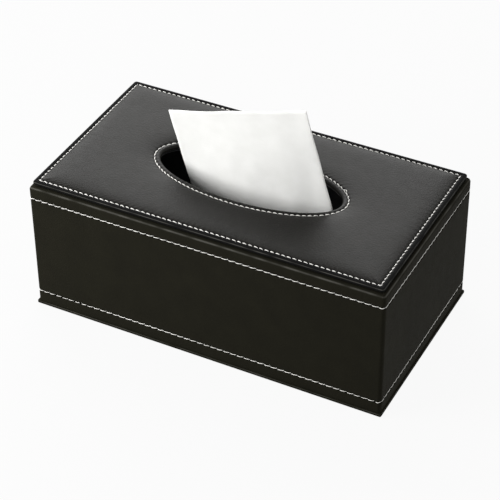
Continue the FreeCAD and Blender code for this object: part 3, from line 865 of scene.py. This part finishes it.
# %% [markdown]
# The cover's section is again a closed loop: in from the hem under the edge, round the edge, over the
# top, round the rim of the opening, under it to the second hem, and back along the board. Where the
# hinge strip lies under the rear edge, the turned-under skin is thinned, as a maker skives it, so that
# the strip lies flush. Outside the border seam the turned edge is duller, and its colour is darkened as
# painted shade, with the same mask as the seams.

# %% The section of the lid's cover
HINGE_SKIN = 0.45
HINGE_CLEARANCE = 0.05
SKIVE_RUN = 0.3
hinge_low, hinge_high = box_mm("hinge_lid_leaf")


def skived(x, y):
    """How far the underside is thinned for the hinge strip: a plateau inside the strip's outline."""
    inside = np.minimum(hinge_high[0] + SKIVE_RUN - np.abs(x), y - hinge_low[1] + SKIVE_RUN)
    return (HINGE_SKIN + HINGE_CLEARANCE) * np.clip(inside / SKIVE_RUN, 0, 1)


def edge_bend(top_round):
    """Insets and heights up an edge: two quarter arcs that meet where the edge stands out most.

    The lower arc is the larger one, because the skin is pulled under, so the edge is undercut.
    """
    foot_round = lid_margin - lid_low[2] - top_round
    bend = np.radians(np.linspace(0, 90, 6))
    lower = np.stack([foot_round * (1 - np.sin(bend)), lid_low[2] + foot_round * (1 - np.cos(bend))], -1)
    upper = np.stack([top_round * (1 - np.cos(bend)), lid_margin - top_round * (1 - np.sin(bend))], -1)
    return [tuple(row) for row in np.concatenate([lower, upper[1:-1]]).tolist()]


def lid_stations():
    """Rows of the cover's section: share of oval, inset from the edge, outset from the oval, height.

    A height of none means the top's own height; a drop below that is given for the inner side.
    """
    foot, deck = lid_low[2], lid_margin - LID_SKIN
    rows = [(0, d, 0, foot) for d in (LID_TURN, 6, 3)]
    rows += [(0, d, 0, z) for d, z in edge_bend(EDGE_TOP_ROUND)]
    rows += [(0, d, 0, None) for d in (EDGE_TOP_ROUND, 1.4, 1.9, 2.4, 2.8, 3.15, seam_inset)]
    rows += [(share, seam_inset, OVAL_BAND, None) for share in panel_steps[1:-1]]
    rows += [(1, 0, e, None) for e in (OVAL_BAND, 3.65, 3.2, 2.7, 2.2, OVAL_TOP_ROUND)]
    rows += [(1, 0, e, z) for e, z in edge_bend(OVAL_TOP_ROUND)[::-1]]
    rows += [(1, 0, e, foot) for e in (3, OVAL_TURN)]
    rows += [(1, 0, e, z) for e, z in ((OVAL_TURN, foot + LID_SKIN), (LID_SKIN + 0.05, foot + LID_SKIN),
                                       (LID_SKIN + 0.05, deck), (OVAL_BAND + 0.9, deck))]
    rows += [(share, seam_inset, OVAL_BAND, -LID_SKIN) for share in (0.85, 0.6, 0.4, 0.15)]
    rows += [(0, d, 0, z) for d, z in ((seam_inset + 0.9, deck), (LID_SKIN + 0.05, deck),
                                       (LID_SKIN + 0.05, foot + LID_SKIN), (LID_TURN, foot + LID_SKIN))]
    return rows


print("rows in the cover's section:", len(lid_stations()))

# %% Cover the lid
LID_POINTS_PER_STITCH = 6
FLANK_SHADE_RUN = 1.2


def covered_lid():
    """The rows carried round the lid, at the top's own height where a row has none."""
    rows = lid_stations()
    shares = round_shares(border_stitches * LID_POINTS_PER_STITCH)
    oval_share, inset, outset = (np.array([row[k] for row in rows], float) for k in range(3))
    flat = lid_flat(shares, oval_share, inset, outset)
    x, y = flat[..., 0], flat[..., 1]
    top, crease = lid_top(flat, shares, oval_share)
    on_top = np.array([row[3] is None for row in rows])
    under_top = np.array([row[3] is not None and row[3] < 0 for row in rows])
    level = np.array([row[3] or 0 for row in rows])
    height = np.where(on_top, top, np.where(under_top, top - LID_SKIN, level))
    underside = np.array([row[3] == lid_low[2] for row in rows])
    height = height + np.where(underside, skived(x, y), 0)
    points = at_height(flat, height)
    # The turned edge outside the border seam gets painted shade and dulling, and its top edge a painted highlight.
    flank_shade_and_dulling = (oval_share == 0) * np.clip((seam_inset - inset) / FLANK_SHADE_RUN, 0, 1)
    crease = np.maximum(np.where(on_top, crease, 0), flank_shade_and_dulling)
    drop = np.where(level > 0, lid_margin - level, 0)
    wear = edge_wear(inset, drop, EDGE_TOP_ROUND, soft_waves(points, PUCKER_WAVE, 23)) * (oval_share == 0)
    return add_piece("padded_lid_cover", points, [grid_faces(*x.shape)], leatherette, crease=crease,
                     wear=wear)


lid_cover = covered_lid()
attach(lid_cover, "lid")
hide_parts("lid_cover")

# %% [markdown]
# ## The foam under the cover
#
# The foam can't be seen, but it is there: a flat sheet with an oval hole, pressed thin at the seams. It
# takes the same height as the cover, less the skin, so the two nest without touching.

# %% Cut the foam
FOAM_MARGIN = 0.9
FOAM_CLEARANCE = 0.03
FOAM_AROUND = 400
FOAM_ACROSS = 24


def foam_sheet():
    """Rings from seam to seam: the cover's top less its skin, over a flat underside that closes it."""
    deck = lid_margin - LID_SKIN
    oval_share = np.concatenate([[0], np.linspace(0, 1, FOAM_ACROSS - 2), [1]])
    shares = round_shares(FOAM_AROUND)
    flat = lid_flat(shares, oval_share, seam_inset + FOAM_MARGIN, OVAL_BAND + FOAM_MARGIN)
    top, _ = lid_top(flat, shares, oval_share)
    height = np.maximum(top - LID_SKIN - FOAM_CLEARANCE, deck + FOAM_CLEARANCE)
    height[:, [0, -1]] = deck
    return add_piece("lid_foam", at_height(flat, height), [grid_faces(*height.shape)], foam)


lid_foam = foam_sheet()
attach(lid_foam, "lid")
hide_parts("lid_pad")

# %% [markdown]
# ## Topstitching on the lid
#
# The rows on the lid use the same stitches, closer together. Where the row round the opening begins and
# ends, the last stitch is sewn over the first so that it can't come undone, and its loose loop stands
# out a little beside the row. It is one more stitch, bowed aside and raised.

# %% Sew the lid
LID_THREAD = 0.9 * thread_width
BORDER_GAP_SHARE = 0.18
OVAL_GAP_SHARE = 0.13
KNOT_GAP_SHARE = 0.1
KNOT_ANGLE = 27.5
KNOT_LIFT = 0.25
KNOT_BOW = 1.1


def lid_route(flat_place, stitches):
    """A route on the lid's top: places and ways across seen from above, lifted to the seam's groove."""
    def route(along):
        flat, across = flat_place(along / stitches)
        up = at_height(np.zeros_like(flat), 1.0)
        return at_height(flat, lid_margin - GROOVE), up, at_height(across, 0.0)
    return route


def border_place(shares):
    """Places on the border seam and the way out: the lid's rectangle shrunk to the seam, with tiny arcs."""
    spine, out, _ = rounded_outline(lid_half, LID_CORNER, shares)
    shrunk = (lid_half - seam_inset - LEAST_RADIUS) / (lid_half - LID_CORNER)
    return spine * shrunk + out * LEAST_RADIUS, out


def oval_place(shares):
    """Places on the oval seam, and the way out, which is cosine and sine over the half sizes."""
    angles, _ = oval_angles(oval_seam, shares)
    flat = np.stack([np.cos(angles) * oval_seam[0], np.sin(angles) * oval_seam[1]], -1)
    out = np.stack([np.cos(angles) / oval_seam[0], np.sin(angles) / oval_seam[1]], -1)
    return flat, out / np.linalg.norm(out, axis=-1, keepdims=True)


walk = np.linspace(0, 1, 2001)
knot_share = np.interp(math.radians(KNOT_ANGLE), oval_angles(oval_seam, walk)[0][:-1], walk[:-1])
knot_start = np.array([knot_share * oval_stitches - 0.5])
border_route = lid_route(border_place, border_stitches)
oval_route = lid_route(oval_place, oval_stitches)
border_row = sew("lid_border_stitches", border_route, np.arange(border_stitches), LID_STITCH, LID_THREAD,
                 BORDER_GAP_SHARE, 13)
oval_row = sew("opening_stitches", oval_route, np.arange(oval_stitches), LID_STITCH, LID_THREAD,
               OVAL_GAP_SHARE, 14)
knot = sew("opening_stitch_overlap", oval_route, knot_start, LID_STITCH, LID_THREAD, KNOT_GAP_SHARE, 15,
           lift=KNOT_LIFT, bow=KNOT_BOW)
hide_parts("lid_border_thread")
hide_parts("opening_thread")
for row in (border_row, oval_row, knot):
    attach(row, "lid")

# %% [markdown]
# ## The hinge strip
#
# The lid turns on a strip of leatherette: glued to the rear wall, led over the rounded rim and glued
# under the lid. Two stiff leaves would part at the crease, so one strip is made. Its line is a path in
# the section, drawn out along the length.

# %% Glue the hinge strip
HINGE_STEPS = 60
LEAF_STEPS = 14
flap_low, flap_high = box_mm("hinge_wall_leaf")
joints = {joint["name"]: joint for joint in frame["joints"]}
hinge_y, hinge_z = np.array(joints["lid_hinge"]["pos_m"][1:]) / MM


def thicken(piece, thickness):
    """Give a sheet its thickness, half on either side."""
    solid = piece.modifiers.new("thickness", "SOLIDIFY")
    solid.thickness = thickness * MM
    solid.offset = 0


def hinge_strip():
    """Up the wall, round the rim's arc and forward under the lid; the skin's thickness is added after."""
    rim_y, rim_z = wall_high[1] - RIM_RADIUS, wall_high[2] - RIM_RADIUS
    reach = RIM_RADIUS + HINGE_SKIN / 2 + HINGE_CLEARANCE
    bend = np.radians(np.linspace(0, 72, 12))
    under = lid_low[2] + HINGE_SKIN / 2
    y = np.concatenate([[rim_y + reach] * 4, rim_y + reach * np.cos(bend),
                        np.linspace(hinge_y - 0.5, hinge_low[1], LEAF_STEPS)])
    z = np.concatenate([np.linspace(flap_low[2], rim_z - 0.8, 4), rim_z + reach * np.sin(bend),
                        np.full(LEAF_STEPS, under)])
    x = np.linspace(flap_low[0], flap_high[0], HINGE_STEPS)
    points = np.stack(np.broadcast_arrays(x[:, None], y, z), -1)
    faces = grid_faces(HINGE_STEPS, len(y), loop_around=False, loop_across=False)
    strip = add_piece("hinge_strip", points, [faces], warm_lit_wall_leatherette)
    thicken(strip, HINGE_SKIN)
    length = np.hypot(np.diff(y), np.diff(z)).sum()
    return strip, (flap_high[0] - flap_low[0], length)


strip, strip_flat = hinge_strip()
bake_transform(strip)
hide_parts("hinge_wall_leaf", "hinge_lid_leaf")
print("hinge strip, flat:", [round(float(size), 1) for size in strip_flat], "mm")

# %% [markdown]
# ## The tissue
#
# A tissue stands in the opening, folded once lengthwise, its fold at the right. It could be dropped in
# by a cloth simulation, but the photographed sheet is stiffly flat. So both layers are one grid that
# runs across the front, round the fold and back, leaning as the joint leans, with a soft bow and
# ripples that grow towards the stack it is drawn from. The open side and the top aren't quite straight,
# and the two layers don't quite meet there.

# %% Fold the tissue
TISSUE_BOW = 7.5
TISSUE_LAYER_GAP = 0.7
TISSUE_PLY = 0.14
TISSUE_EDGE_WAVE = 0.7
TISSUE_RIPPLE = 0.3
TISSUE_CURL = 2.0
TISSUE_COCKLE = 0.12
TISSUE_WRINKLE = 0.15
ACROSS_STEPS = 56
FOLD_STEPS = 7
ALONG_STEPS = 72
sheet_low, sheet_high = box_mm("tissue_sheet")
pull_way = joints["tissue_pull"]["axis"]
lean = math.atan2(-pull_way[0], pull_way[2])
tissue_rise = sheet_high[2] - sheet_low[2]
tissue_width = (sheet_high[0] - tissue_rise * math.tan(lean) - sheet_low[0]) / math.cos(lean)
top_left = np.array([sheet_low[0], 0, sheet_high[2] - tissue_width * math.sin(lean)])
print("tissue as folded", round(tissue_width, 1), "mm, leaning", round(math.degrees(lean), 1), "degrees")


def folded_tissue():
    """Across the strip lies u, down it v. A point is the top edge at u, moved down the strip to the tail.

    The bow is a parabola across the strip, strongest at the lid; ripples are sine waves across it. The open
    side is waved along the strip's width and the top along its length, and both fade within the sheet.
    """
    face = np.linspace(0, 1, ACROSS_STEPS)
    turn = np.linspace(-math.pi / 2, math.pi / 2, FOLD_STEPS + 2)[1:-1]
    half_gap = TISSUE_LAYER_GAP / 2
    u = np.concatenate([face, 1 + half_gap / tissue_width * np.cos(turn), face[::-1]])[:, None]
    layer = np.concatenate([-np.ones(ACROSS_STEPS), np.sin(turn), np.ones(ACROSS_STEPS)])[:, None]
    v = np.linspace(0, 1, ALONG_STEPS)[None, :]
    across = np.array([math.cos(lean), 0, math.sin(lean)])
    down = np.array([math.sin(lean), 0, -math.cos(lean)])
    length = (top_left[2] + u * tissue_width * math.sin(lean) - sheet_low[2]) / math.cos(lean)
    points = top_left + u[..., None] * tissue_width * across + (v * length)[..., None] * down
    at_lid = np.sin(math.pi * np.clip(v * 1.1, 0, 1)) ** 1.7
    bow = TISSUE_BOW * (1 - (2 * u - 1) ** 2) * (0.12 + 0.88 * at_lid)
    ripple = (0.15 + 1.5 * v ** 2) * np.sin(2 * math.pi * (1.6 * u + 0.15) + 1.2 * v)
    ripple += (0.1 + 0.7 * v ** 2) * np.sin(2 * math.pi * (3.3 * u + 0.4) - 2.0 * v)
    curl = TISSUE_CURL * bell(1 - u, 0.05) * (0.2 + 0.8 * v)
    points[..., 1] += -bow + TISSUE_RIPPLE * ripple + layer * half_gap * (1 + 0.6 * v) - curl
    waved = TISSUE_EDGE_WAVE * soft_waves(points * [1, 0, 1] + 4 * layer[..., None], 34, 33)[..., None]
    side, top = bell(u, 0.15)[..., None], bell(v, 0.12)[..., None]
    points += waved * (side * (1 - top) * across + top * (1 - side) * down)
    gathered = bell(v - 0.45, 0.3)
    points[..., 1] += TISSUE_COCKLE * soft_waves(points * [1, 0, 1], 22, 31)
    points[..., 1] += TISSUE_WRINKLE * gathered * soft_waves(points * [1, 0, 0.45], 17, 32)
    area = (length * tissue_width / (ACROSS_STEPS - 1))[:ACROSS_STEPS - 1].sum() * 2
    return points, area


tissue_points, tissue_area = folded_tissue()
tissue_faces = grid_faces(*tissue_points.shape[:2], loop_around=False, loop_across=False)
tissue = add_piece("folded_tissue", tissue_points, [tissue_faces], tissue_paper)
thicken(tissue, TISSUE_PLY)
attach(tissue, "tissue")
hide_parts("tissue_sheet")

# %% [markdown]
# ## The stack of tissues
#
# The rest of the tissues lie on the floor of the box, each folded over the next. Modelling every sheet
# would cost far more than it shows, so the stack is one rounded block whose sides step in and out from
# fold to fold. Its top is closed along a spine, where the next sheet comes up through a shallow slit.

# %% Stack the tissues
STACK_CORNER = 3.0
STACK_POINTS = 320
FOLDS = 18
STEPS_PER_FOLD = 4
FOLD_DEPTH = 0.8
FOLD_SHIFT = 0.4
STACK_UNEVENNESS = 0.35
SLIT_DEPTH, SLIT_WIDTH = 0.5, 2.2
stack_low, stack_high = box_mm("tissue_stack")


def tissue_stack():
    """Rings up the sides, in and out by a sine for each fold, then inwards over the top to a spine.

    Each fold is shifted by a sine of its number. The top is uneven and has a hump-shaped slit.
    """
    half, height = stack_high[:2], stack_high[2] - stack_low[2]
    climb = np.linspace(0, 1, FOLDS * STEPS_PER_FOLD + 1)
    fold = np.abs(np.sin(math.pi * climb * FOLDS)) ** 0.5
    top_round = STACK_CORNER * np.clip((climb - 0.86) / 0.14, 0, 1) ** 2
    inwards = np.concatenate([np.linspace(0.12, 0.85, 14), [1.0]])
    top_inset = STACK_CORNER + 0.9 + (half[1] - STACK_CORNER - 0.9) * inwards
    inset = np.concatenate([[half[1]], FOLD_DEPTH * (1 - fold) + top_round, top_inset])
    level = np.concatenate([[0], climb * (height - 1), height - 1 + 0.6 * inwards ** 0.3])
    flat = inset_ring(half, STACK_CORNER, round_shares(STACK_POINTS), inset)
    points = at_height(flat, stack_low[2] + level)
    ring = np.arange(len(inset))
    side = (ring > 0) & (inset < half[1] * 0.9)
    step = np.floor(np.clip(level / height, 0, 1) * FOLDS)
    shift = FOLD_SHIFT * np.sin(step * 2.4)[:, None] * np.array([1.0, 0.6])
    points[..., :2] += np.where(side[:, None], shift - FOLD_SHIFT / 2 * np.sign(flat), 0)
    slit = bell(points[..., 1], SLIT_WIDTH) * (ring > len(climb))
    uneven = STACK_UNEVENNESS * soft_waves(points, 40, 41) * (ring >= len(climb))
    points[..., 2] += uneven - SLIT_DEPTH * slit
    faces = grid_faces(*flat.shape[:2], loop_across=False)
    return welded(add_piece("tissue_pile", points, [faces], stacked_paper))


pile = tissue_stack()
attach(pile, "box")
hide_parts("tissue_stack")

# %% [markdown]
# ## Linings and felt
#
# The inside is lined with flannel: five glued panels and one under the lid. They are cloth, not board,
# so their edges are soft. A panel is a rounded outline in its own plane whose section bulges like a
# pillow's edge, closed by a flat face on either side. The lid's lining has the oval cut out and is
# turned up round the edges of its board, so that no bare board shows in the opening.

# %% Line the box
PANEL_CORNER = 0.8
PANEL_POINTS = 200


def cloth_panel(name, node_name, finish):
    """A panel in the space of a packed one: rings bulge out by a half circle between its two faces."""
    low, high = box_mm(node_name)
    thin = int(np.argmin(high - low))
    plane = [axis for axis in range(3) if axis != thin]
    half, thickness = (high - low)[plane] / 2, (high - low)[thin]
    bend = np.linspace(0, math.pi, 7)
    inset = thickness / 2 * (1 - np.sin(bend))
    flat = inset_ring(half, PANEL_CORNER, round_shares(PANEL_POINTS), inset)
    points = np.zeros((*flat.shape[:2], 3))
    points[..., plane] = flat + ((low + high) / 2)[plane]
    points[..., thin] = low[thin] + thickness * (1 - np.cos(bend)) / 2
    rim = np.arange(PANEL_POINTS * len(bend)).reshape(PANEL_POINTS, len(bend))
    faces = [grid_faces(*rim.shape, loop_across=False), rim[None, ::-1, 0], rim[None, :, -1]]
    panel = add_piece(name, points, faces, finish)
    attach(panel, "box")
    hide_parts(node_name)
    return panel


for side in ("floor", "front", "rear", "left", "right"):
    cloth_panel(f"{side}_flannel", f"{side}_lining", flannel)
cloth_panel("felt_foot", "underside_felt", felt)

# %% Line the lid
LINING_GAP = 2.0
LINING_POINTS = 400
TURNED_SKIN = 0.45


def lid_flannel():
    """Across the underside of the lining board and up round its edges, as one section from edge to edge."""
    low, high = box_mm("lid_lining")
    top = box_mm("lid_lining_board")[1][2] - 0.1
    foot, out = low[2], -TURNED_SKIN
    edge = np.array([(0.6, foot), (out + 0.35, foot + 0.1), (out, foot + 0.45), (out, top - 0.3),
                     (out + 0.1, top), (-0.03, top), (-0.03, high[2] - 0.02), (0.6, high[2] - 0.02)])
    shares = round_shares(LINING_POINTS)
    angles, _ = oval_angles(oval_seam, shares)
    outer = inset_ring(high[:2], PANEL_CORNER, shares, edge[:, 0])
    inner = oval_ring(oval_half + LINING_GAP, angles, edge[::-1, 0])
    flat = np.concatenate([outer, inner], 1)
    points = at_height(flat, np.concatenate([edge[:, 1], edge[::-1, 1]]))
    panel = add_piece("lid_flannel", points, [grid_faces(*flat.shape[:2])], flannel)
    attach(panel, "lid")
    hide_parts("lid_lining")
    turn = top - foot
    cut = high[:2] + turn
    area = (4 * cut.prod() - math.pi * (oval_half + LINING_GAP - turn).prod()) * MM ** 2


lid_flannel()

# %% [markdown]
# ## Finishes for the solids that stay
#
# Boards, brads, magnets and keepers have the right shape already, so they only get their finish.

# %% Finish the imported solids
node_finish = {"fibreboard": fibreboard, "steel": steel, "magnet": nickel}
slot_of = {part["node"]: part["material_slot"] for part in frame["record"]["subparts"]}
kept = [name for name, solid in frame["nodes"].items() if not solid.hide_render]
for name in kept:
    solid = frame["nodes"][name]
    solid.data.materials.clear()
    solid.data.materials.append(node_finish[slot_of[name]])
print("solids kept as packed:", sorted(kept))

# %% [markdown]
# ## Floor, light and camera
#
# The box is shown on plain white under soft studio light. A large soft box stands behind on the left,
# where the lid mirrors it as a broad sheen. A smaller one stands low at the front left, so the front
# wall darkens to the right, and a faint one lights the right wall. A lamp's level is how bright its
# face looks, so its power is that level times its area and pi. The floor and the sky are white to the
# camera, to mirrored rays and through glass alike, and the floor keeps a faint shadow.

# %% A white floor and sky
FLOOR_HALF = 4000.0
FLOOR_GAP = 0.02
SKY_LEVEL = 0.38
FLOOR_WHITENING = 0.93


def whitening(tree, share):
    """How much plain white a ray meets: one share from the camera, off a mirror and through glass alike."""
    path = node(tree, "LightPath").outputs
    bent = node(tree, "Math", {"operation": "MAXIMUM"},
                {0: path["Is Glossy Ray"], 1: path["Is Transmission Ray"]})
    seen = node(tree, "Math", {"operation": "MAXIMUM"}, {0: path["Is Camera Ray"], 1: bent.outputs[0]})
    return node(tree, "Math", {"operation": "MULTIPLY", 1: share}, {0: seen.outputs[0]}).outputs[0]


def white_floor():
    """A large square just under the box, a mix of matt grey and plain white."""
    finish, tree, _ = new_finish("matt white studio floor")
    matt = node(tree, "BsdfDiffuse", {"Color": linear("#b0b0b0")})
    glow = node(tree, "Emission", {"Color": linear("#ffffff"), "Strength": 1.0})
    share = whitening(tree, FLOOR_WHITENING)
    mix = node(tree, "MixShader", None, {0: share, 1: matt.outputs[0], 2: glow.outputs[0]})
    node(tree, "OutputMaterial", links={"Surface": mix.outputs[0]})
    corners = np.array([(-1, -1), (1, -1), (1, 1), (-1, 1)]) * FLOOR_HALF
    floor = add_piece("floor", at_height(corners, -FLOOR_GAP), [np.array([[0, 1, 2, 3]])], finish)


def white_sky():
    """Dim light from all round, and plain white to the rays that should see it so."""
    world = bpy.data.worlds.new("white studio")
    world.use_nodes = True
    tree = world.node_tree
    tree.nodes.clear()
    dim = node(tree, "Background", {"Color": linear("#ffffff"), "Strength": SKY_LEVEL})
    white = node(tree, "Background", {"Color": linear("#ffffff"), "Strength": 1.0})
    mix = node(tree, "MixShader", None, {0: whitening(tree, 1.0), 1: dim.outputs[0], 2: white.outputs[0]})
    node(tree, "OutputWorld", links={"Surface": mix.outputs[0]})
    bpy.context.scene.world = world


white_floor()
white_sky()

# %% Light the box


def soft_box(name, place, aim, size, level):
    """A square area lamp at a place, turned to its aim, both in millimetres."""
    lamp = bpy.data.lights.new(name, "AREA")
    lamp.size = size * MM
    lamp.energy = level * math.pi * lamp.size ** 2
    holder = bpy.data.objects.new(name, lamp)
    holder.location = Vector(place) * MM
    holder.rotation_euler = (Vector(place) - Vector(aim)).to_track_quat("Z", "Y").to_euler()
    bpy.context.scene.collection.objects.link(holder)


soft_box("rear soft box", (-600, 930, 860), (0, 0, 90), 1300, 3.6)
soft_box("front soft box", (-600, -470, 370), (0, 0, 80), 500, 11.2)
soft_box("right soft box", (1150, -150, 450), (0, 0, 60), 800, 1.6)
print("lamps:", len(bpy.data.lights))

# %% [markdown]
# The camera stands where the photograph was taken from. Its turn, tilt, roll and distance were fitted
# to the edges and seams in the photograph, taken as a square picture with its centre in the middle.

# %% Set the camera
CAMERA_TURN, CAMERA_TILT, CAMERA_ROLL = 27.582, 38.012, -0.590
CAMERA_AIM = Vector((2.8465, -6.7800, 45.0))
CAMERA_DISTANCE = 1187.09
CAMERA_LENS = 136.07


def set_camera():
    """Back from the aim by sines and cosines of turn and tilt, then rolled about the view."""
    turn, tilt, roll = (math.radians(angle) for angle in (CAMERA_TURN, CAMERA_TILT, CAMERA_ROLL))
    back = Vector((math.sin(turn) * math.cos(tilt), -math.cos(turn) * math.cos(tilt), math.sin(tilt)))
    right = Vector((math.cos(turn), math.sin(turn), 0))
    up = back.cross(right)
    right, up = (math.cos(roll) * right + math.sin(roll) * up, math.cos(roll) * up - math.sin(roll) * right)
    camera = bpy.data.objects.new("camera", bpy.data.cameras.new("camera"))
    camera.data.lens = CAMERA_LENS
    camera.data.clip_end = 20
    camera.matrix_world = Matrix((right, up, back)).transposed().to_4x4()
    camera.location = (CAMERA_AIM + back * CAMERA_DISTANCE) * MM
    bpy.context.scene.collection.objects.link(camera)
    bpy.context.scene.camera = camera


set_camera()
bpy.context.scene.view_settings.view_transform = "Standard"
print("camera at", [round(value, 3) for value in bpy.context.scene.camera.location])
